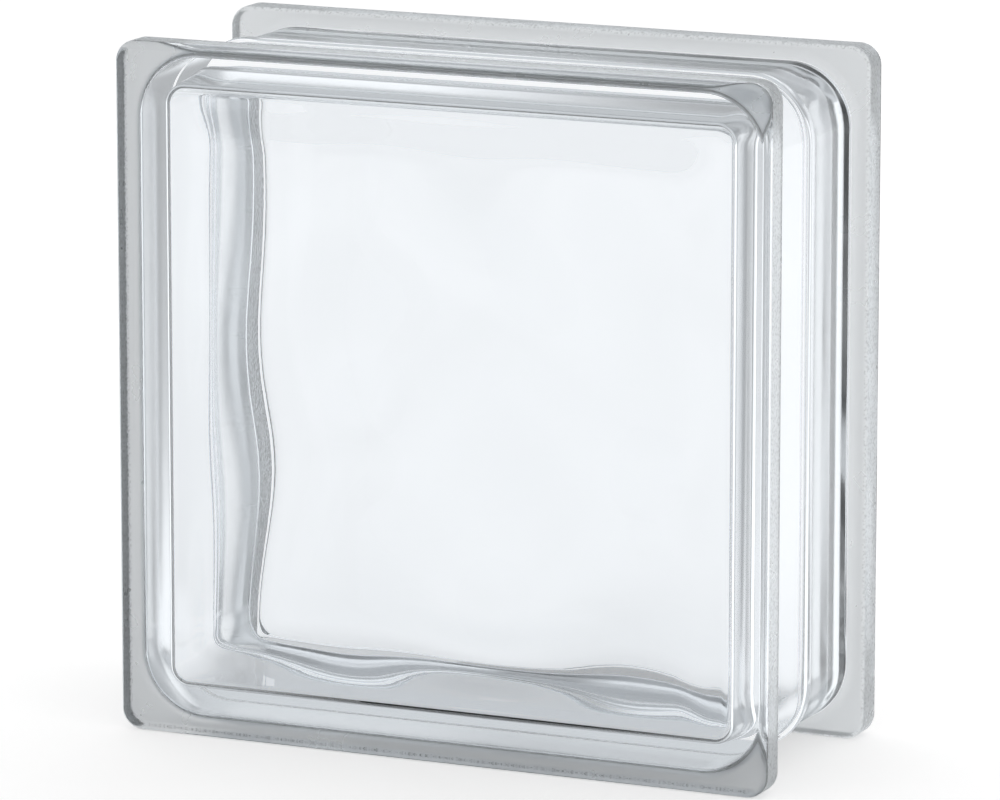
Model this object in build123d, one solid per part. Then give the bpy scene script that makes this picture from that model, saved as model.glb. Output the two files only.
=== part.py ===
from build123d import *
from math import cos, radians, sin, tan, tau
import os

# Format of the block, standing upright as it is laid in a wall
block_width = 190.0
block_height = 190.0
block_depth = 80.0

# Flanges, the lips that stand out round both panes
flange_thickness = 10.0
flange_corner_radius = 6.0
face_edge_radius = 2.0

# Mortar groove that runs round the block between the flanges
groove_depth = 4.7
groove_corner_radius = 17.0
groove_root_share = 0.45
flange_lip_share = 0.22

# Seam at mid depth, where the two pressed halves are fused
seam_width = 3.0
seam_height_outside = 1.3
seam_height_inside = 0.8
seam_bevel_share = 0.45

# Sealed cavity
pane_thickness = 9.2
wall_at_seam = 5.0
cavity_corner_radius = 8.0
cavity_draft = 4.5
pane_root_radius = 3.2

# Waves pressed into the inner face of each pane, as trains that cross, sunk inside a plain border
wave_height = 0.46
wave_length = 74.0
wave_trains = 4
wave_height_ratio = 0.87
wave_length_ratio = 0.89
wave_first_heading = 140.0
wave_heading_step = 82.0
wave_first_phase = 225.0
wave_phase_step = 187.0
wave_sink = 0.15
wave_border = 1.0
wave_fade = 11.0
wave_points_per_length = 34
wave_fit_tolerance = 0.01
wave_fit_degree = 8
wave_smoothing = (1, 1, 1)

# Overrun of solids that trim others
overrun = 5.0

half_depth = block_depth / 2
groove_width = block_depth - 2 * flange_thickness
body_width = block_width - 2 * groove_depth
body_height = block_height - 2 * groove_depth
cavity_width = body_width - 2 * wall_at_seam
cavity_height = body_height - 2 * wall_at_seam
pane_level = pane_thickness - half_depth
pane_inset = pane_root_radius - pane_level * tan(radians(cavity_draft))
field_width = cavity_width - 2 * (pane_inset + wave_border)
field_height = cavity_height - 2 * (pane_inset + wave_border)
wave_heights = [wave_height * wave_height_ratio**train for train in range(wave_trains)]


def upright_plane(depth):
    """The upright plane at a depth, with its centre on the block's axis, facing the front."""
    return Plane(origin=(0, depth, block_height / 2), x_dir=(1, 0, 0), z_dir=(0, -1, 0))


def slab(width, height, corner_radius, thickness):
    """A slab with rounded corners, upright and centred on mid depth."""
    outline = RectangleRounded(width, height, corner_radius)
    return extrude(upright_plane(0) * outline, thickness / 2, both=True)


def end_faces(solid):
    """The frontmost and rearmost faces of a solid."""
    by_depth = solid.faces().sort_by(Axis.Y)
    return [by_depth[0], by_depth[-1]]


def mortar_groove():
    """The ring of space that the groove takes out of a plain slab, bevelled at its root."""
    ring = slab(block_width + 2 * overrun, block_height + 2 * overrun, flange_corner_radius, groove_width)
    ring -= slab(body_width, body_height, groove_corner_radius, block_depth)
    roots = [edge for face in end_faces(ring) for edge in face.inner_wires()[0].edges()]
    return chamfer(roots, groove_depth * groove_root_share)


def flanged_body():
    """The block's outer form: flanges with rounded face edges and bevelled lips, and the groove between."""
    body = slab(block_width, block_height, flange_corner_radius, block_depth)
    body = fillet([edge for face in end_faces(body) for edge in face.edges()], face_edge_radius)
    body -= mortar_groove()
    walls = body.faces().filter_by(Axis.Y).sort_by(Axis.Y)[1:-1]
    lips = [edge for wall in walls for edge in wall.outer_wire().edges()]
    return chamfer(lips, groove_depth * flange_lip_share)


def seam_bead_outside():
    """The bevelled bead of squeezed-out glass on the floor of the groove."""
    growth = 2 * seam_height_outside
    radius = groove_corner_radius + seam_height_outside
    bead = slab(body_width + growth, body_height + growth, radius, seam_width)
    rims = [edge for face in end_faces(bead) for edge in face.edges()]
    return chamfer(rims, seam_height_outside * seam_bevel_share)


def seam_bead_inside():
    """The lower bead that the same seam leaves on the wall of the cavity."""
    shrink = 2 * seam_height_inside
    radius = cavity_corner_radius - seam_height_inside
    ring = slab(body_width, body_height, groove_corner_radius, seam_width)
    ring -= slab(cavity_width - shrink, cavity_height - shrink, radius, block_depth)
    rims = [edge for face in end_faces(ring) for edge in face.inner_wires()[0].edges()]
    return chamfer(rims, seam_height_inside * seam_bevel_share)


def fade(place, field):
    """One over most of the wave field, easing to nothing at its edge."""
    ramp = min((field / 2 - abs(place)) / wave_fade, 1.0)
    return sin(ramp * tau / 4) ** 2


def waves(x, z):
    """The crossing wave trains, between their highest and lowest reach, at a place on the pane."""
    swell = 0.0
    for train, height in enumerate(wave_heights):
        heading = radians(wave_first_heading + train * wave_heading_step)
        phase = radians(wave_first_phase + train * wave_phase_step)
        travel = (x * cos(heading) + z * sin(heading)) / (wave_length * wave_length_ratio**train)
        swell += height * sin(tau * travel + phase)
    return swell


def hollow(x, z):
    """How deep the wavy face lies under the plain border, with a small step left at the border itself."""
    depth = sum(wave_heights) - waves(x, z)
    return depth * fade(x, field_width) * fade(z, field_height) + wave_sink


def places(field):
    """Evenly spaced places across the wave field."""
    steps = round(field / wave_length * wave_points_per_length)
    return [field * (step / steps) - field / 2 for step in range(steps + 1)]


def wavy_hollow():
    """The space that the waves take out of the front pane, reaching back into the cavity."""
    rows = [
        [(x, pane_level - hollow(x, z), z + block_height / 2) for x in places(field_width)]
        for z in places(field_height)
    ]
    face = Face.make_surface_from_array_of_points(
        rows, tol=wave_fit_tolerance, smoothing=wave_smoothing, max_deg=wave_fit_degree
    )
    return extrude(face, overrun, dir=(0, 1, 0))


def cavity_half():
    """The front half of the cavity: a drafted well, rounded at the pane, with the waves sunk into it."""
    mouth = RectangleRounded(cavity_width, cavity_height, cavity_corner_radius)
    well = extrude(upright_plane(0) * mouth, -pane_level)
    well = draft(well.faces().filter_by(Axis.Y, reverse=True), upright_plane(0), cavity_draft)
    well = fillet(well.faces().sort_by(Axis.Y)[0].edges(), pane_root_radius)
    return well + wavy_hollow()


def sealed_cavity():
    """Both halves come from one mould, so the rear one is the front one turned about the upright axis."""
    front = cavity_half()
    return front + Rot(0, 0, 180) * front - seam_bead_inside()


def glass_block():
    """The finished block, one fused piece of glass round a sealed cavity."""
    return flanged_body() + seam_bead_outside() - sealed_cavity()


os.makedirs("parts", exist_ok=True)
export_step(glass_block(), "parts/glass_block.step")
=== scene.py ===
"""Dresses the hollow glass block: clear pressed glass with waved panes on a pale studio floor."""

import logging
import math
from dataclasses import dataclass
from enum import Enum

import bmesh
import bpy
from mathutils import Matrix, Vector


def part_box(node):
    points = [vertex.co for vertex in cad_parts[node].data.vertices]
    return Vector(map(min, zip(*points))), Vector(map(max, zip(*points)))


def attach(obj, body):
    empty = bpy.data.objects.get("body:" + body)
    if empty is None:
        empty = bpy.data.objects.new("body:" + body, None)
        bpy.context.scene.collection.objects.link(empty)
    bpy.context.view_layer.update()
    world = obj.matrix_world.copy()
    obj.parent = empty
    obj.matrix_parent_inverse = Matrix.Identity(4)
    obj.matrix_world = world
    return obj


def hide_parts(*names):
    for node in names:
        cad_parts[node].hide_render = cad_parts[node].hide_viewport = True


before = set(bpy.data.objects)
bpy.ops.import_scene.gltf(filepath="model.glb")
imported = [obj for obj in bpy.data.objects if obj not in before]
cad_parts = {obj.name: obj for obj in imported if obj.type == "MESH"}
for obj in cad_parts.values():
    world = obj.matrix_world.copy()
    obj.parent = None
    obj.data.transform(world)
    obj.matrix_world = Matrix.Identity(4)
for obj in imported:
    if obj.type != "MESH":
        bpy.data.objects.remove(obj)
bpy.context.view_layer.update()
NODE = "glass_block"
MM = 0.001
QUARTER_TURN = math.pi / 2

Colour = tuple[float, float, float, float]
Point = tuple[float, float]

GLASS_IOR = 1.52
GLASS_TINT: Colour = (0.958, 0.974, 0.99, 1.0)

LOG = logging.getLogger(NODE)


class Field:
    """A value that a node tree works out for each point, written with ordinary arithmetic."""

    def __init__(self, tree: bpy.types.NodeTree, socket: bpy.types.NodeSocket) -> None:
        """Keep the tree and the socket that the value comes from."""
        self.tree = tree
        self.socket = socket

    def plug(self, slot: bpy.types.NodeSocket, value: "Field | float") -> None:
        """Feed a socket from another field, or set it to a plain number.

        Args:
            slot: The input socket to feed.
            value: A field to link, or a number to type in.
        """
        if isinstance(value, Field):
            self.tree.links.new(value.socket, slot)
        else:
            slot.default_value = value

    def calculate(self, operation: str, *values: "Field | float") -> "Field":
        """Add one Math node.

        Args:
            operation: Name of the node's operation.
            values: What its inputs take, in order.

        Returns:
            The node's result.
        """
        node = self.tree.nodes.new("ShaderNodeMath")
        node.operation = operation
        for slot, value in zip(node.inputs, values):
            self.plug(slot, value)
        return Field(self.tree, node.outputs["Value"])

    def __add__(self, other: "Field | float") -> "Field":
        """Sum of two values."""
        return self.calculate("ADD", self, other)

    def __radd__(self, other: float) -> "Field":
        """Sum of a number and this value."""
        return self.calculate("ADD", other, self)

    def __sub__(self, other: "Field | float") -> "Field":
        """Difference of two values."""
        return self.calculate("SUBTRACT", self, other)

    def __rsub__(self, other: float) -> "Field":
        """A number less this value."""
        return self.calculate("SUBTRACT", other, self)

    def __mul__(self, other: "Field | float") -> "Field":
        """Product of two values."""
        return self.calculate("MULTIPLY", self, other)

    def __truediv__(self, other: "Field | float") -> "Field":
        """Quotient of two values."""
        return self.calculate("DIVIDE", self, other)

    def __pow__(self, other: "Field | float") -> "Field":
        """This value raised to a power."""
        return self.calculate("POWER", self, other)

    def __rpow__(self, other: float) -> "Field":
        """A number raised to this power."""
        return self.calculate("POWER", other, self)

    def apply(self, operation: str, *others: "Field | float") -> "Field":
        """A Math node whose first input is this value."""
        return self.calculate(operation, self, *others)

    def clamped(self) -> "Field":
        """This value held between nought and one."""
        return self.apply("MINIMUM", 1.0).apply("MAXIMUM", 0.0)

    def positive(self) -> "Field":
        """One where this value is above nought, and nought elsewhere."""
        return self.apply("GREATER_THAN", 0.0)

    def stretched(self, level: float, contrast: float) -> "Field":
        """Nought up to a level, and from there a quick rise to one."""
        return ((self - level) * contrast).clamped()


class Tree:
    """A node tree under construction, with short ways to add nodes and sockets."""

    def __init__(self, tree: bpy.types.NodeTree) -> None:
        """Keep the tree that the nodes go into."""
        self.tree = tree

    def node(self, kind: str, **settings: object) -> bpy.types.Node:
        """Add a node and set its properties.

        Args:
            kind: The node's type name.
            settings: Properties of the node, by name.

        Returns:
            The new node.
        """
        node = self.tree.nodes.new(kind)
        for name, value in settings.items():
            setattr(node, name, value)
        return node

    def sockets(self, direction: str, kinds: dict[str, str]) -> None:
        for name, kind in kinds.items():
            self.tree.interface.new_socket(name, in_out=direction, socket_type=f"NodeSocket{kind}")

    def link(self, source: "Field | bpy.types.NodeSocket", target: bpy.types.NodeSocket) -> None:
        """Link a field or an output socket to an input socket."""
        socket = source.socket if isinstance(source, Field) else source
        self.tree.links.new(socket, target)

    def field(self, socket: bpy.types.NodeSocket) -> Field:
        """Wrap an output socket, so that it takes part in arithmetic."""
        return Field(self.tree, socket)

    def split(self, vector: bpy.types.NodeSocket) -> tuple[Field, Field, Field]:
        """Split a vector into its parts.

        Args:
            vector: The vector's socket.

        Returns:
            The three parts.
        """
        node = self.node("ShaderNodeSeparateXYZ")
        self.link(vector, node.inputs["Vector"])
        return tuple(self.field(socket) for socket in node.outputs)

    def joined(self, *parts: Field) -> bpy.types.NodeSocket:
        """Join three values into a vector.

        Args:
            parts: The three values.

        Returns:
            The vector's socket.
        """
        node = self.node("ShaderNodeCombineXYZ")
        for slot, part in zip(node.inputs, parts):
            self.link(part, slot)
        return node.outputs["Vector"]

    def dimmed(self, colour: "Colour | bpy.types.NodeSocket", share: Field) -> bpy.types.NodeSocket:
        """Multiply a colour by a share that varies.

        Args:
            colour: A plain colour, or a socket that gives one.
            share: The share of the colour that is left.

        Returns:
            The socket of the dimmed colour.
        """
        node = self.node("ShaderNodeVectorMath", operation="SCALE")
        if isinstance(colour, bpy.types.NodeSocket):
            self.link(colour, node.inputs[0])
        else:
            node.inputs[0].default_value = colour[:3]
        self.link(share, node.inputs["Scale"])
        return node.outputs["Vector"]

    def between(self, first: Colour, second: Colour, share: Field) -> bpy.types.NodeSocket:
        """Run from one colour to another.

        Args:
            first: Colour where the share is nought.
            second: Colour where it is one.
            share: The share of the second colour.

        Returns:
            The socket of the blended colour.
        """
        node = self.node("ShaderNodeMix", data_type="RGBA")
        self.link(share, node.inputs["Factor"])
        colours = [socket for socket in node.inputs if socket.type == "RGBA"]
        colours[0].default_value, colours[1].default_value = first, second
        return next(socket for socket in node.outputs if socket.type == "RGBA")


class Surface:
    """A new material of one shader, and the place on the piece that its patterns follow."""

    def __init__(self, name: str, constants: "dict[str, float | Colour]") -> None:
        """Make the material.

        Args:
            name: Name of the material.
            constants: What is the same all over, by the shader's sockets.
        """
        self.material = bpy.data.materials.new(name)
        self.material.use_nodes = True
        self.tree = Tree(self.material.node_tree)
        self.place = self.tree.node("ShaderNodeTexCoord").outputs["Object"]
        self.shader = self.material.node_tree.nodes["Principled BSDF"]
        for socket, value in constants.items():
            self.shader.inputs[socket].default_value = value

    def feed(self, socket: str, source: "Field | bpy.types.NodeSocket") -> None:
        """Give one of the shader's sockets what varies over the surface."""
        self.tree.link(source, self.shader.inputs[socket])

    def emboss(self, relief: Field, height: float) -> None:
        """Raise the surface by a relief too fine for the mesh.

        Args:
            relief: The relief, from nought to one.
            height: Height of the relief where it is one, in metres.
        """
        bump = self.tree.node("ShaderNodeBump")
        bump.inputs["Distance"].default_value = height
        self.tree.link(relief, bump.inputs["Height"])
        self.feed("Normal", bump.outputs["Normal"])


@dataclass(frozen=True)
class Mottle:
    """A cloud of soft patches, as a node group that the materials share.

    Attributes:
        name: Name of the node group.
        detail: How much finer structure the patches have.
    """

    name: str = "mottle"
    detail: float = 3.0

    MEAN = 0.5

    def group(self) -> bpy.types.NodeTree:
        """Build the node group once, and find it again after that.

        Returns:
            The group.
        """
        if self.name in bpy.data.node_groups:
            return bpy.data.node_groups[self.name]
        group = bpy.data.node_groups.new(self.name, "ShaderNodeTree")
        tree = Tree(group)
        tree.sockets("INPUT", {"Place": "Vector", "Patches Per Metre": "Float"})
        tree.sockets("OUTPUT", {"Value": "Float"})
        entry = tree.node("NodeGroupInput")
        noise = tree.node("ShaderNodeTexNoise")
        noise.inputs["Detail"].default_value = self.detail
        tree.link(entry.outputs["Place"], noise.inputs["Vector"])
        tree.link(entry.outputs["Patches Per Metre"], noise.inputs["Scale"])
        tree.link(noise.outputs["Fac"], tree.node("NodeGroupOutput").inputs["Value"])
        return group

    def value(self, surface: Surface, size: float) -> Field:
        """Place the group in a material.

        Args:
            surface: The material.
            size: Size of a patch, in metres.

        Returns:
            Values about the mean.
        """
        node = surface.tree.node("ShaderNodeGroup", node_tree=self.group())
        node.inputs["Patches Per Metre"].default_value = 1 / size
        surface.tree.link(surface.place, node.inputs["Place"])
        return surface.tree.field(node.outputs["Value"])

    def about(self, surface: Surface, size: float, middle: float, spread: float) -> Field:
        """Values that vary about another middle, by some spread from patch to patch."""
        return middle + (self.value(surface, size) - self.MEAN) * spread


@dataclass(frozen=True)
class PressedGlass:
    """The clear glass of the faces and the cavity.

    Attributes:
        name: Name of the material.
        ior: Refractive index of soda-lime glass.
        tint: Colour that light takes on at each surface.
        ripple: Size of the faint ripples left by the mould.
        ripple_height: Height of the ripples.
    """

    name: str = "clear_pressed_glass"
    ior: float = GLASS_IOR
    tint: Colour = GLASS_TINT
    ripple: float = 24.0 * MM
    ripple_height: float = 0.02 * MM

    def material(self) -> bpy.types.Material:
        """Build the clear glass.

        Returns:
            The material.
        """
        glass = Surface(self.name, {
            "IOR": self.ior,
            "Transmission Weight": 1.0,
            "Roughness": 0.0,
            "Base Color": self.tint,
        })
        glass.emboss(Mottle().value(glass, self.ripple), self.ripple_height)
        return glass.material


@dataclass(frozen=True)
class FrostedGlass:
    """The frosted floor of the mortar groove.

    Attributes:
        name: Name of the material.
        ior: Refractive index of the glass.
        tint: Colour that light takes on at the surface.
        roughness: Mean roughness.
        spread: How much the roughness varies from patch to patch.
        patch: Size of the patches.
    """

    name: str = "frosted_glass"
    ior: float = GLASS_IOR
    tint: Colour = GLASS_TINT
    roughness: float = 0.15
    spread: float = 0.1
    patch: float = 9.0 * MM

    def material(self) -> bpy.types.Material:
        """Build the frosted glass.

        Returns:
            The material.
        """
        glass = Surface(self.name, {
            "IOR": self.ior,
            "Transmission Weight": 1.0,
            "Base Color": self.tint,
        })
        glass.feed("Roughness", Mottle().about(glass, self.patch, self.roughness, self.spread))
        return glass.material


@dataclass(frozen=True)
class FlangeEdges:
    """The outermost strips of the block, which bear the gritty key.

    Attributes:
        half: Half width of the square that the strips stand outside of.
        corner: Radius of that square's corners.
        centre: Height of the middle of the block.
        border: Width of the run from smooth to gritty.
    """

    half: float
    corner: float
    centre: float
    border: float = 0.8 * MM

    def mask(self, surface: Surface) -> Field:
        """Tell the flange edges from the rest.

        Args:
            surface: The material that needs to know.

        Returns:
            One on the flange edges, nought elsewhere.
        """
        x, _, z = surface.tree.split(surface.place)
        across = x.apply("ABSOLUTE") - (self.half - self.corner)
        up = (z - self.centre).apply("ABSOLUTE") - (self.half - self.corner)
        round_part = across.apply("MAXIMUM", 0.0) ** 2 + up.apply("MAXIMUM", 0.0) ** 2
        flat_part = across.apply("MAXIMUM", up).apply("MINIMUM", 0.0)
        outside = round_part.apply("SQRT") + flat_part - self.corner
        return (outside / self.border).clamped()


@dataclass(frozen=True)
class GrittyCoat:
    """The milky coat that mortar grips, on the walls of the flanges and, with grit, on their edges.

    Attributes:
        name: Name of the material.
        ior: Refractive index of the coat.
        colour: Colour of the coat.
        clearness: Share of the light that the coat lets through.
        roughness: Mean roughness.
        spread: How much the roughness varies from patch to patch.
        patch: Size of the patches.
        grain: Size of the grains on the flange edges.
        grain_height: Height of the grains.
        speck_level: Height, as a share of the grains', from which they are darker specks.
        speck_contrast: How quickly the specks set in.
        speck_shade: How much darker they are.
    """

    name: str = "gritty_coat"
    ior: float = GLASS_IOR
    colour: Colour = (0.9, 0.935, 0.955, 1.0)
    clearness: float = 0.5
    roughness: float = 0.3
    spread: float = 0.2
    patch: float = 9.0 * MM
    grain: float = 0.8 * MM
    grain_height: float = 0.2 * MM
    speck_level: float = 0.45
    speck_contrast: float = 4.0
    speck_shade: float = 0.35

    def material(self, edges: FlangeEdges) -> bpy.types.Material:
        """Build the coat.

        Args:
            edges: Where the flange edges are.

        Returns:
            The material.
        """
        coat = Surface(self.name, {"IOR": self.ior, "Transmission Weight": self.clearness})
        coat.feed("Roughness", Mottle().about(coat, self.patch, self.roughness, self.spread))
        grains = Mottle().value(coat, self.grain) * edges.mask(coat)
        specks = grains.stretched(self.speck_level, self.speck_contrast)
        coat.feed("Base Color", coat.tree.dimmed(self.colour, 1.0 - specks * self.speck_shade))
        coat.emboss(grains, self.grain_height)
        return coat.material


class Skin(Enum):
    """The two closed surfaces that bound the glass."""

    OUTSIDE = "outside"
    CAVITY = "cavity"


@dataclass(frozen=True)
class Station:
    """One ring of a skin: a square of rounded corners at some depth.

    Attributes:
        half: Half the ring's width, in metres.
        depth: Place of the ring through the block, nought at mid depth.
        corner: Radius of the ring's corners.
    """

    half: float
    depth: float
    corner: float


@dataclass(frozen=True)
class Waves:
    """The wave trains pressed into the inner face of a pane.

    Attributes:
        height: Height of the first train, in metres.
        length: Length of the first train's waves.
        trains: Number of trains that cross.
        height_ratio: Height of each train against the one before.
        length_ratio: Length of each train against the one before.
        first_heading: Direction of the first train across the face, in degrees.
        heading_step: Turn from one train to the next, in degrees.
        first_phase: Shift of the first train, in degrees.
        phase_step: Shift from one train to the next, in degrees.
        sink: Least depth of the waves under the plain border.
        border: Width of the plain border inside the pane's rounded root.
        fade: Width over which the waves ease out.
    """

    height: float = 0.46 * MM
    length: float = 74.0 * MM
    trains: int = 4
    height_ratio: float = 0.87
    length_ratio: float = 0.89
    first_heading: float = 140.0
    heading_step: float = 82.0
    first_phase: float = 225.0
    phase_step: float = 187.0
    sink: float = 0.15 * MM
    border: float = 1.0 * MM
    fade: float = 11.0 * MM

    def train_heights(self) -> list[float]:
        """Height of each train, the tallest first."""
        return [self.height * self.height_ratio**train for train in range(self.trains)]

    def swell(self, x: Field, z: Field) -> Field:
        """Sum of the crossing trains at a place on the pane.

        Args:
            x: Place across the pane.
            z: Place up the pane.

        Returns:
            The height of the waves about their mean.
        """
        trains = []
        for train, height in enumerate(self.train_heights()):
            heading = math.radians(self.first_heading + train * self.heading_step)
            phase = math.radians(self.first_phase + train * self.phase_step)
            rate = math.tau / (self.length * self.length_ratio**train)
            along = x * (math.cos(heading) * rate) + z * (math.sin(heading) * rate)
            trains.append((along + phase).apply("SINE") * height)
        return sum(trains)

    def fading(self, place: Field, field_width: float) -> Field:
        """Share of the waves that is left at a place, from one inside to nought at the edge.

        Args:
            place: Place across the pane, nought in the middle.
            field_width: Width of the field that the waves fill.

        Returns:
            The share.
        """
        ramp = ((field_width / 2 - place.apply("ABSOLUTE")) / self.fade).clamped()
        return (ramp * QUARTER_TURN).apply("SINE") ** 2

    def hollow(self, x: Field, z: Field, field_width: float) -> Field:
        """How deep the pane's inner face lies under its plain border.

        Args:
            x: Place across the pane.
            z: Place up the pane.
            field_width: Width of the field that the waves fill.

        Returns:
            The depth of the face, in metres.
        """
        depth = (self.sink + sum(self.train_heights())) - self.swell(x, z)
        return depth * self.fading(x, field_width) * self.fading(z, field_width)


@dataclass(frozen=True)
class Facets:
    """How finely a skin is divided on its way round the block.

    Attributes:
        side_step: Mean length of a step along a side, in metres.
        corner_steps: Steps round a corner.
        easing: How much the steps along a side gather towards its corners, one for not at all.
    """

    side_step: float
    corner_steps: int
    easing: float


class Wrap:
    """A Geometry Nodes tree that wraps a row of stations round the block."""

    MERGE_DISTANCE = 0.001 * MM

    def __init__(self, name: str) -> None:
        """Start the tree, with the sizes of its steps as named inputs.

        Args:
            name: Name of the tree.
        """
        self.group = bpy.data.node_groups.new(name, "GeometryNodeTree")
        self.tree = Tree(self.group)
        self.tree.sockets("INPUT", {
            "Profile": "Geometry",
            "Side Steps": "Int",
            "Corner Steps": "Int",
            "Side Easing": "Float",
            "Centre Height": "Float",
        })
        self.tree.sockets("OUTPUT", {"Skin": "Geometry"})
        entry = self.tree.node("NodeGroupInput").outputs
        self.profile = entry["Profile"]
        self.sides = self.tree.field(entry["Side Steps"])
        self.corners = self.tree.field(entry["Corner Steps"])
        self.easing = self.tree.field(entry["Side Easing"])
        self.centre = self.tree.field(entry["Centre Height"])
        self.quarter = self.sides * 2.0 + self.corners

    def position(self) -> bpy.types.NodeSocket:
        """Place of each point."""
        return self.tree.node("GeometryNodeInputPosition").outputs["Position"]

    def grid(self) -> tuple[bpy.types.NodeSocket, Field, Field]:
        """Lay out a flat grid, with a row for each station and a column for each step round the block.

        Returns:
            The grid's mesh, and the column and the row of each of its points.
        """
        count = self.tree.node("GeometryNodeAttributeDomainSize", component="MESH")
        self.tree.link(self.profile, count.inputs["Geometry"])
        rows = self.tree.field(count.outputs["Point Count"])
        grid = self.tree.node("GeometryNodeMeshGrid")
        self.tree.link(self.quarter * 4.0 + 1.0, grid.inputs["Vertices X"])
        self.tree.link(rows, grid.inputs["Vertices Y"])
        index = self.tree.field(self.tree.node("GeometryNodeInputIndex").outputs["Index"])
        column = (index / rows).apply("FLOOR")
        return grid.outputs["Mesh"], column, index - column * rows

    def station(self, row: Field) -> tuple[Field, Field, Field]:
        """Read the station that a row stands for.

        Args:
            row: Number of the row.

        Returns:
            The station's half width, depth and corner radius.
        """
        sample = self.tree.node("GeometryNodeSampleIndex", data_type="FLOAT_VECTOR", domain="POINT")
        self.tree.link(self.profile, sample.inputs["Geometry"])
        self.tree.link(self.position(), sample.inputs["Value"])
        self.tree.link(row, sample.inputs["Index"])
        return self.tree.split(sample.outputs["Value"])

    def around(self, column: Field, half: Field, corner: Field) -> tuple[Field, Field]:
        """Walk round a square of rounded corners.

        Args:
            column: Number of the step.
            half: Half the square's width.
            corner: Radius of its corners.

        Returns:
            The place across and up, from the middle of the square.
        """
        turn = (column / self.quarter).apply("FLOOR")
        step = column - turn * self.quarter
        rising = 1.0 - (1.0 - (step / self.sides).clamped()) ** self.easing
        falling = 1.0 - ((step - self.sides - self.corners) / self.sides).clamped() ** self.easing
        bend = ((step - self.sides) / self.corners).clamped() * QUARTER_TURN
        across = (half - corner) * falling + corner * bend.apply("COSINE")
        up = (half - corner) * rising + corner * bend.apply("SINE")
        angle = turn * QUARTER_TURN
        x = across * angle.apply("COSINE") - up * angle.apply("SINE")
        z = across * angle.apply("SINE") + up * angle.apply("COSINE")
        return x, z

    def close(self, mesh: bpy.types.NodeSocket, place: bpy.types.NodeSocket, flipped: bool,
              finishes: list[tuple[bpy.types.Material, float]]) -> None:
        """Put the grid in place, close its seam and poles and paint it.

        Args:
            mesh: The grid.
            place: Where its points go.
            flipped: Whether its faces have to be turned over to point out of the glass.
            finishes: The materials, and how far from mid depth each reaches, the farthest first.
        """
        put = self.tree.node("GeometryNodeSetPosition")
        self.tree.link(mesh, put.inputs["Geometry"])
        self.tree.link(place, put.inputs["Position"])
        merge = self.tree.node("GeometryNodeMergeByDistance")
        merge.inputs["Distance"].default_value = self.MERGE_DISTANCE
        chain = [put, merge]
        if flipped:
            chain.append(self.tree.node("GeometryNodeFlipFaces"))
        chain.append(self.tree.node("GeometryNodeSetShadeSmooth"))
        chain.append(self.tree.node("GeometryNodeRealizeInstances"))
        _, through, _ = self.tree.split(self.position())
        from_middle = through.apply("ABSOLUTE")
        for finish, reach in finishes:
            paint = self.tree.node("GeometryNodeSetMaterial")
            paint.inputs["Material"].default_value = finish
            self.tree.link(from_middle.apply("LESS_THAN", reach), paint.inputs["Selection"])
            chain.append(paint)
        chain.append(self.tree.node("NodeGroupOutput"))
        for source, target in zip(chain, chain[1:]):
            self.tree.link(source.outputs[0], target.inputs[0])


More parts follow.
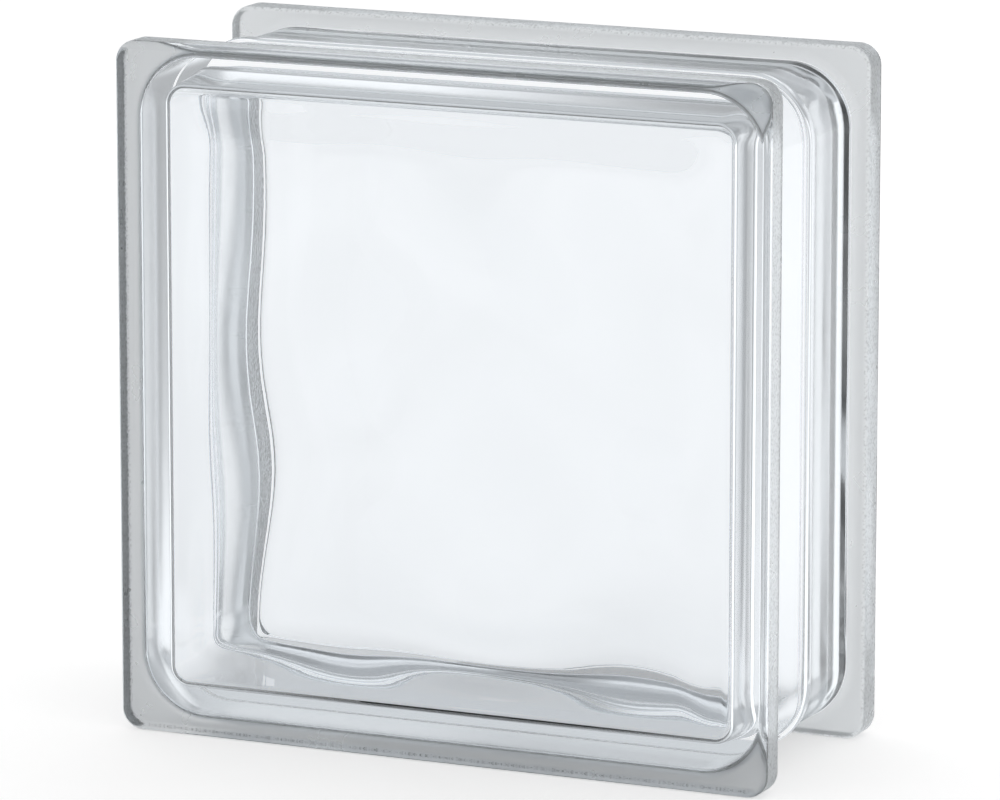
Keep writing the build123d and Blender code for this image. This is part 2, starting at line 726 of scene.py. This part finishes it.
@dataclass(frozen=True)
class GlassBlock:
    """The block itself: two skins, the outside and the sealed cavity, of one piece of glass.

    Attributes:
        width: Width and height of the block, in metres.
        depth: Depth of the block.
        flange: Thickness of the flanges.
        flange_corner: Radius of the flange's corners.
        face_edge: Radius of the edge round the faces.
        lip: Radius of the flange's edge at the groove.
        groove: Depth of the mortar groove.
        groove_corner: Radius of the groove's corners.
        groove_root: Radius between the groove's floor and its walls.
        seam: Width of the seam's bead.
        seam_outside: Height of the bead in the groove.
        seam_inside: Height of the bead in the cavity.
        pane: Thickness of a pane at its border.
        wall: Thickness of the wall at the seam.
        cavity_corner: Radius of the cavity's corners at the seam.
        cavity_draft: Slope of the cavity's walls, in degrees.
        pane_root: Radius between the cavity's walls and its panes.
        coat_share: Share of the groove's rounded root that the coat runs on over.
        support: Width of the narrow strips that keep flat faces flat beside round edges.
        wall_ring: Distance from mid depth of the ring that divides the cavity's wall.
        outside_facets: How finely the outside is divided.
        cavity_facets: How finely the cavity is divided.
        waves: The waves on the panes.
        clear: The clear glass of the faces and the cavity.
        frosted: The glass of the groove's floor.
        coat: The coat on the flanges' walls and edges.
    """

    width: float
    depth: float
    flange: float = 10.0 * MM
    flange_corner: float = 6.0 * MM
    face_edge: float = 2.0 * MM
    lip: float = 1.5 * MM
    groove: float = 4.7 * MM
    groove_corner: float = 17.0 * MM
    groove_root: float = 2.9 * MM
    seam: float = 3.0 * MM
    seam_outside: float = 1.3 * MM
    seam_inside: float = 0.8 * MM
    pane: float = 9.2 * MM
    wall: float = 5.0 * MM
    cavity_corner: float = 8.0 * MM
    cavity_draft: float = 4.5
    pane_root: float = 3.2 * MM
    coat_share: float = 0.6
    support: float = 0.25 * MM
    wall_ring: float = 6.0 * MM
    outside_facets: Facets = Facets(side_step=12.0 * MM, corner_steps=18, easing=3.0)
    cavity_facets: Facets = Facets(side_step=2.04 * MM, corner_steps=12, easing=1.0)
    waves: Waves = Waves()
    clear: PressedGlass = PressedGlass()
    frosted: FrostedGlass = FrostedGlass()
    coat: GrittyCoat = GrittyCoat()

    ARC_STEPS = 10
    PANE_RING_STEP = 1.7 * MM

    def half(self) -> float:
        """Half the width of the block."""
        return self.width / 2

    def pane_level(self) -> float:
        """Depth of the front pane's inner border."""
        return self.pane - self.depth / 2

    def slope(self) -> float:
        """How much wider the cavity grows on each side for its depth."""
        return math.tan(math.radians(self.cavity_draft))

    def outside_half(self) -> list[Station]:
        """Rings of the outside, from the middle of the front face to the seam.

        Returns:
            The stations in order.
        """
        front = -self.depth / 2
        flange_core = self.half() - self.flange_corner
        floor = self.half() - self.groove
        floor_core = floor - self.groove_corner
        groove_wall = front + self.flange
        edge_centre = (self.half() - self.face_edge, front + self.face_edge)
        lip_centre = (self.half() - self.lip, groove_wall - self.lip)
        root_centre = (floor + self.groove_root, groove_wall + self.groove_root)
        points = [(0.0, front), (edge_centre[0] - self.support, front)]
        points += self.arc(edge_centre, self.face_edge, -90.0, 0.0)
        points.append((self.half(), edge_centre[1] + self.support))
        points.append((self.half(), lip_centre[1] - self.support))
        points += self.arc(lip_centre, self.lip, 0.0, 90.0)
        stations = [Station(half, depth, max(half - flange_core, 0.0)) for half, depth in points]
        points = self.arc(root_centre, self.groove_root, -90.0, -180.0)
        points += [(floor, root_centre[1] + self.support), (floor, -self.seam / 2 - self.support)]
        points += self.bead(floor, self.seam_outside)
        return stations + [Station(half, depth, half - floor_core) for half, depth in points]

    def cavity_half(self) -> list[Station]:
        """Rings of the cavity, from the middle of the front pane to the seam.

        Returns:
            The stations in order.
        """
        mouth = self.half() - self.groove - self.wall
        core = mouth - self.cavity_corner
        root_depth = self.pane_level() + self.pane_root
        root_setback = self.pane_root / math.cos(math.radians(self.cavity_draft))
        root_half = mouth + root_depth * self.slope() - root_setback
        rings = round(root_half / self.PANE_RING_STEP)
        corner_share = (root_half - core) / root_half
        halves = [root_half * ring / rings for ring in range(rings)]
        stations = [Station(half, self.pane_level(), half * corner_share) for half in halves]
        points = self.arc((root_half, root_depth), self.pane_root, -90.0, -self.cavity_draft)
        wall_depths = (-self.wall_ring, -self.seam / 2 - self.support)
        points += [(mouth + depth * self.slope(), depth) for depth in wall_depths]
        points += self.bead(mouth, -self.seam_inside)
        return stations + [Station(half, depth, half - core) for half, depth in points]

    def arc(self, centre: Point, radius: float, start: float, end: float) -> list[Point]:
        """Points of a round edge in the block's section.

        Args:
            centre: Centre of the arc, as half width and depth.
            radius: Radius of the arc.
            start: Angle of the first point, in degrees from straight out towards the rear.
            end: Angle of the last point.

        Returns:
            The points, as half width and depth.
        """
        points = []
        for step in range(self.ARC_STEPS + 1):
            angle = math.radians(start + (end - start) * step / self.ARC_STEPS)
            points.append((centre[0] + radius * math.cos(angle), centre[1] + radius * math.sin(angle)))
        return points

    def bead(self, wall: float, height: float) -> list[Point]:
        """Points of the front half of a seam bead's section.

        Args:
            wall: Half width of the wall that carries the bead.
            height: How far the bead stands out, below nought where it stands into the cavity.

        Returns:
            The points, as half width and depth, up to the crest.
        """
        turns = [QUARTER_TURN * step / self.ARC_STEPS for step in range(self.ARC_STEPS + 1)]
        return [(wall + height * math.sin(turn), -self.seam / 2 * math.cos(turn)) for turn in turns]

    def profile(self, skin: Skin) -> list[Station]:
        """Rings of a whole skin, from the front to the rear.

        Args:
            skin: Which skin.

        Returns:
            The stations in order, the rear half mirrored from the front one.
        """
        front = self.outside_half() if skin is Skin.OUTSIDE else self.cavity_half()
        rear = [Station(ring.half, -ring.depth, ring.corner) for ring in reversed(front[:-1])]
        return front + rear

    def wave_field(self) -> float:
        """Width of the part of a pane that the waves fill.

        Returns:
            The width, in metres.
        """
        mouth = self.width - 2 * (self.groove + self.wall)
        inset = self.pane_root - self.pane_level() * self.slope()
        return mouth - 2 * (inset + self.waves.border)

    def reaches(self, skin: Skin) -> list[float]:
        """How far from mid depth each finish reaches, the one that reaches farthest first.

        Args:
            skin: Which skin.

        Returns:
            The distances, of the clear glass and, on the outside, of the coat and the frosted glass.
        """
        if skin is Skin.CAVITY:
            return [self.depth]
        coat_end = self.depth / 2 - self.flange - self.groove_root * self.coat_share
        return [self.depth, self.depth / 2 - self.face_edge, coat_end]

    def skin_tree(self, skin: Skin, finishes: list[bpy.types.Material]) -> bpy.types.NodeTree:
        """The tree that wraps a profile round the block and presses the waves into the panes.

        Args:
            skin: Which skin the tree makes.
            finishes: The clear glass, the coat and the frosted glass, from the faces inwards.

        Returns:
            The tree.
        """
        wrap = Wrap(f"wrap_{skin.value}")
        mesh, column, row = wrap.grid()
        half, depth, corner = wrap.station(row)
        x, z = wrap.around(column, half, corner)
        if skin is Skin.CAVITY:
            facing = depth.apply("SIGN") * -1.0
            depth = depth - facing * self.waves.hollow(facing * x, z, self.wave_field())
        place = wrap.tree.joined(x, depth, z + wrap.centre)
        wrap.close(mesh, place, skin is Skin.OUTSIDE, list(zip(finishes, self.reaches(skin))))
        return wrap.group

    def skin_mesh(self, skin: Skin, centre: float, finishes: list[bpy.types.Material]) -> bpy.types.Mesh:
        """Make one skin as a plain mesh.

        Args:
            skin: Which skin.
            centre: Height of the middle of the block.
            finishes: The clear glass, the coat and the frosted glass.

        Returns:
            The finished mesh.
        """
        profile = bpy.data.meshes.new(f"{skin.value}_profile")
        profile.from_pydata([(ring.half, ring.depth, ring.corner) for ring in self.profile(skin)], [], [])
        piece = bpy.data.objects.new(f"{skin.value}_skin", profile)
        bpy.context.collection.objects.link(piece)
        modifier = piece.modifiers.new("wrap", "NODES")
        modifier.node_group = self.skin_tree(skin, finishes)
        facets = self.outside_facets if skin is Skin.OUTSIDE else self.cavity_facets
        values = {
            "Side Steps": round(self.half() / facets.side_step),
            "Corner Steps": facets.corner_steps,
            "Side Easing": facets.easing,
            "Centre Height": centre,
        }
        for item in modifier.node_group.interface.items_tree:
            if item.name in values:
                modifier[item.identifier] = values[item.name]
        evaluated = piece.evaluated_get(bpy.context.evaluated_depsgraph_get())
        mesh = bpy.data.meshes.new_from_object(evaluated)
        bpy.data.objects.remove(piece)
        for face in mesh.polygons:
            face.material_index = finishes.index(mesh.materials[face.material_index])
        return mesh

    def build(self) -> bpy.types.Object:
        """Build both skins, join them and put them in place of the plain solid.

        Returns:
            The finished piece.
        """
        low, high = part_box(NODE)
        centre = (low[2] + high[2]) / 2
        edges = FlangeEdges(self.half() - self.lip, self.flange_corner - self.lip, centre)
        finishes = [self.clear.material(), self.coat.material(edges), self.frosted.material()]
        joined = bmesh.new()
        for skin in Skin:
            joined.from_mesh(self.skin_mesh(skin, centre, finishes))
        mesh = bpy.data.meshes.new("pressed_glass")
        joined.to_mesh(mesh)
        joined.free()
        for finish in finishes:
            mesh.materials.append(finish)
        piece = bpy.data.objects.new("pressed_glass", mesh)
        bpy.context.collection.objects.link(piece)
        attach(piece, "root")
        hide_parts(NODE)
        return piece


@dataclass(frozen=True)
class Room:
    """Brightness of the room that shows in the glass, side by side.

    Attributes:
        right: Brightness to the right of the block.
        left: Brightness to the left.
        behind: Brightness behind the block.
        front: Brightness on the camera's side.
        above: Brightness overhead.
        below: Brightness under the edge of the table.
    """

    right: float = 0.7
    left: float = 0.65
    behind: float = 0.75
    front: float = 0.35
    above: float = 0.55
    below: float = 0.35

    def brightness(self, tree: Tree, direction: bpy.types.NodeSocket) -> Field:
        """Blend the six sides by the direction of a ray.

        Args:
            tree: Tree of the world.
            direction: Direction of the ray, of length one.

        Returns:
            The brightness of the room in that direction.
        """
        pairs = ((self.right, self.left), (self.behind, self.front), (self.above, self.below))
        parts = []
        for along, (ahead, back) in zip(tree.split(direction), pairs):
            side = back + along.positive() * (ahead - back)
            parts.append(along ** 2 * side)
        return sum(parts)


@dataclass(frozen=True)
class Sector:
    """A wedge of the room, seen from the block.

    Attributes:
        heading: Direction of its middle, in degrees from straight right towards the rear.
        spread: Angle from its middle to its edge, in degrees.
        softness: Width of the soft edge, in degrees.
        setback: How far on the near side of the block its tip lies, in metres.
    """

    heading: float
    spread: float
    softness: float
    setback: float = 0.0

    def mask(self, tree: Tree, place: bpy.types.NodeSocket) -> Field:
        """Tell the wedge from the rest of the room.

        Args:
            tree: Tree of the material or the world.
            place: Place on the table, or direction of a ray.

        Returns:
            One in the wedge, nought elsewhere.
        """
        x, y, _ = tree.split(place)
        heading = math.radians(self.heading)
        ahead = x * math.cos(heading) + y * math.sin(heading) + self.setback
        aside = (y * math.cos(heading) - x * math.sin(heading)).apply("ABSOLUTE")
        inside = math.radians(self.spread) - aside.apply("ARCTAN2", ahead)
        return (inside / math.radians(self.softness)).clamped()


@dataclass(frozen=True)
class Ways:
    """The ways by which a ray from the eye can reach the room, each as one or nought.

    Attributes:
        direct: It met nothing.
        through: It went through clear glass and no more.
        thrown: The glass threw it back on its way.
        left: Share of the light that is left where the glass has thrown the ray back more than once, a
            painted dimming for each further turn.
    """

    direct: Field
    through: Field
    thrown: Field
    left: Field

    # Painted shade: each turn after the first dims what the ray reaches by this share.
    LEFT_PER_TURN = 0.92

    @classmethod
    def of(cls, tree: Tree) -> "Ways":
        """Read the ways from the path of the ray.

        Args:
            tree: Tree of the material or the world.

        Returns:
            The ways.
        """
        path = tree.node("ShaderNodeLightPath").outputs
        turns = tree.field(path["Glossy Depth"])
        met_glass = tree.field(path["Transmission Depth"]).positive()
        scattered = tree.field(path["Diffuse Depth"]).positive()
        turned = turns.positive()
        clean = 1.0 - scattered
        straight = clean * (1.0 - turned)
        through = straight * met_glass
        more_turns = (turns - 1.0).apply("MAXIMUM", 0.0)
        return cls(straight - through, through, clean * turned, cls.LEFT_PER_TURN ** more_turns)


@dataclass(frozen=True)
class Studio:
    """The pale table and the soft light round the block.

    Attributes:
        table_side: How far the table reaches to either side, in metres.
        table_front: How far it reaches towards the camera.
        table_back: How far it reaches behind.
        table_colour: Colour of the table.
        lift: Glow that brings the table up to white where it is seen past the block or through it.
        glow: Painted glow of the table where the glass throws it back.
        glowing: The part of the table that glows so.
        cloud: Size of the soft patches of painted light and shade on the table.
        cloud_level: Value of the patches from which they are dimmer.
        cloud_contrast: How quickly they grow dimmer.
        cloud_depth: How much dimmer they are.
        white: The part of the room that is white through the glass.
        aside: Share of that whiteness beside it.
        shade: The part of the table painted darker, as a painted shadow of the block, where the glass throws
            it back.
        shade_depth: How much darker that painted shadow is.
        backdrop: Brightness of the backdrop beyond the table.
        plain: Colour of the light where the room is seen past the block or through the glass.
        cool: Colour of the light that the glass throws back.
        room: The light of the room.
    """

    table_side: float = 1.2
    table_front: float = 1.3
    table_back: float = 1.6
    table_colour: Colour = (0.93, 0.93, 0.93, 1.0)
    lift: float = 0.5
    glow: float = 0.75
    glowing: Sector = Sector(heading=90.0, spread=130.0, softness=50.0)
    cloud: float = 420.0 * MM
    cloud_level: float = 0.35
    cloud_contrast: float = 2.0
    cloud_depth: float = 0.1
    white: Sector = Sector(heading=112.0, spread=55.0, softness=30.0, setback=0.3)
    aside: float = 0.35
    shade: Sector = Sector(heading=90.0, spread=28.0, softness=12.0)
    shade_depth: float = 0.6
    backdrop: float = 1.0
    plain: Colour = (1.0, 1.0, 1.0, 1.0)
    cool: Colour = (0.93, 0.968, 1.0, 1.0)
    room: Room = Room()

    def build(self) -> None:
        """Set the table and light the room."""
        self.set_table()
        self.light_room()

    def set_table(self) -> None:
        """A level pale table top under the block."""
        left, right = -self.table_side, self.table_side
        near, far = -self.table_front, self.table_back
        mesh = bpy.data.meshes.new("studio_table")
        corners = [(left, near, 0.0), (right, near, 0.0), (right, far, 0.0), (left, far, 0.0)]
        mesh.from_pydata(corners, [], [(0, 1, 2, 3)])
        mesh.materials.append(self.table_material())
        table = bpy.data.objects.new("studio_table", mesh)
        bpy.context.collection.objects.link(table)

    def table_material(self) -> bpy.types.Material:
        """Build the matt table top, whose uneven light is painted: painted shade in soft patches and behind
        the block, and a painted glow where the glass throws it back.

        Returns:
            The material.
        """
        top = Surface("pale_table", {
            "Roughness": 1.0,
            "Specular IOR Level": 0.0,
            "Emission Strength": 1.0,
        })
        tree, place = top.tree, top.place
        ways = Ways.of(tree)
        # Painted shade: soft cloudy patches that darken the table's colour and glow.
        painted_clouds = Mottle().value(top, self.cloud).stretched(self.cloud_level, self.cloud_contrast)
        # Painted shadow: a darker strip straight behind the block, seen only where the glass throws the table
        # back.
        painted_shadow = ways.thrown * self.shade.mask(tree, place) * self.shade_depth
        # The painted shades together, with the painted dimming of rays thrown back more than once, set the
        # table's colour.
        painted_shading = (1.0 - painted_clouds * self.cloud_depth) * (1.0 - painted_shadow) * ways.left
        top.feed("Base Color", tree.dimmed(self.table_colour, painted_shading))
        # The glow lifts the table to white past the block. Through the glass it is painted light, brightest
        # in one wedge, and where the glass throws the table back it is a painted glow.
        seen = ways.direct + ways.through * self.whiteness(tree, place)
        thrown = ways.thrown * self.glowing.mask(tree, place)
        glow = (seen * self.lift + thrown * self.glow) * painted_shading
        top.feed("Emission Color", tree.dimmed(self.light_colour(tree, ways), glow))
        return top.material

    def light_colour(self, tree: Tree, ways: Ways) -> bpy.types.NodeSocket:
        """Colour of the light of the room, cooler where the glass throws it back."""
        return tree.between(self.plain, self.cool, ways.thrown)

    def whiteness(self, tree: Tree, place: bpy.types.NodeSocket) -> Field:
        """How white the room is through the glass: one in its white part, and a share of that beside it."""
        return self.aside + self.white.mask(tree, place) * (1.0 - self.aside)

    def light_room(self) -> None:
        """Light from all round, and a white backdrop where it is seen past the block or through the glass."""
        world = bpy.data.worlds.new("studio")
        world.use_nodes = True
        bpy.context.scene.world = world
        background = world.node_tree.nodes["Background"]
        tree = Tree(world.node_tree)
        direction = tree.node("ShaderNodeTexCoord").outputs["Generated"]
        ways = Ways.of(tree)
        tree.link(self.light_colour(tree, ways), background.inputs["Color"])
        light = self.room.brightness(tree, direction) * ways.left
        seen = ways.direct + ways.through * self.whiteness(tree, direction)
        tree.link(light + seen * (self.backdrop - light), background.inputs["Strength"])


@dataclass(frozen=True)
class PhotoCamera:
    """The camera, where the photographer stood.

    Attributes:
        azimuth: Turn round the block from straight in front, in degrees.
        elevation: Height of the view above level, in degrees.
        distance: Distance from the target, in metres.
        target: Point that the camera looks at, from the middle of the front face's lower edge.
        focal_pixels: Focal length in pixels of the picture.
        picture_width: Width of the picture in pixels.
        sensor_width: Width of the sensor, in millimetres.
        sight: How far the camera sees, in metres.
    """

    azimuth: float = 24.39
    elevation: float = 11.51
    distance: float = 1.87071
    target: tuple[float, float, float] = (18.75 * MM, 0.0, 101.03 * MM)
    focal_pixels: float = 7092.65
    picture_width: int = 1000
    sensor_width: float = 36.0
    sight: float = 100.0

    def place(self, front: float) -> None:
        """Set the camera up.

        Args:
            front: Depth of the block's front face.
        """
        data = bpy.data.cameras.new("photo_camera")
        data.sensor_width = self.sensor_width
        data.lens = self.focal_pixels / self.picture_width * self.sensor_width
        data.clip_end = self.sight
        camera = bpy.data.objects.new("photo_camera", data)
        bpy.context.collection.objects.link(camera)
        turn, lift = math.radians(self.azimuth), math.radians(self.elevation)
        back = Vector((math.sin(turn) * math.cos(lift), -math.cos(turn) * math.cos(lift), math.sin(lift)))
        camera.location = Vector(self.target) + Vector((0.0, front, 0.0)) + back * self.distance
        camera.rotation_euler = back.to_track_quat("Z", "Y").to_euler()
        bpy.context.scene.camera = camera


@dataclass(frozen=True)
class LightPaths:
    """How many times light may turn on its way through the glass.

    Attributes:
        total: Turns of any kind.
        through: Turns where it goes through a surface.
        thrown: Turns where a surface throws it back.
        scattered: Turns where a surface scatters it.
    """

    total: int = 32
    through: int = 32
    thrown: int = 16
    scattered: int = 12

    def apply(self) -> None:
        """Set the turns, with a plain colour transform."""
        scene = bpy.context.scene
        scene.view_settings.view_transform = "Standard"
        scene.cycles.max_bounces = self.total
        scene.cycles.transmission_bounces = self.through
        scene.cycles.glossy_bounces = self.thrown
        scene.cycles.diffuse_bounces = self.scattered


def main() -> None:
    """Build the block, the studio and the camera in order."""
    logging.basicConfig(level=logging.INFO)
    low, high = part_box(NODE)
    block = GlassBlock(width=high[0] - low[0], depth=high[1] - low[1])
    piece = block.build()
    LOG.info("%s: %d faces", piece.name, len(piece.data.polygons))
    Studio().build()
    PhotoCamera().place(low[1])
    LightPaths().apply()


if __name__ == "__main__":
    main()
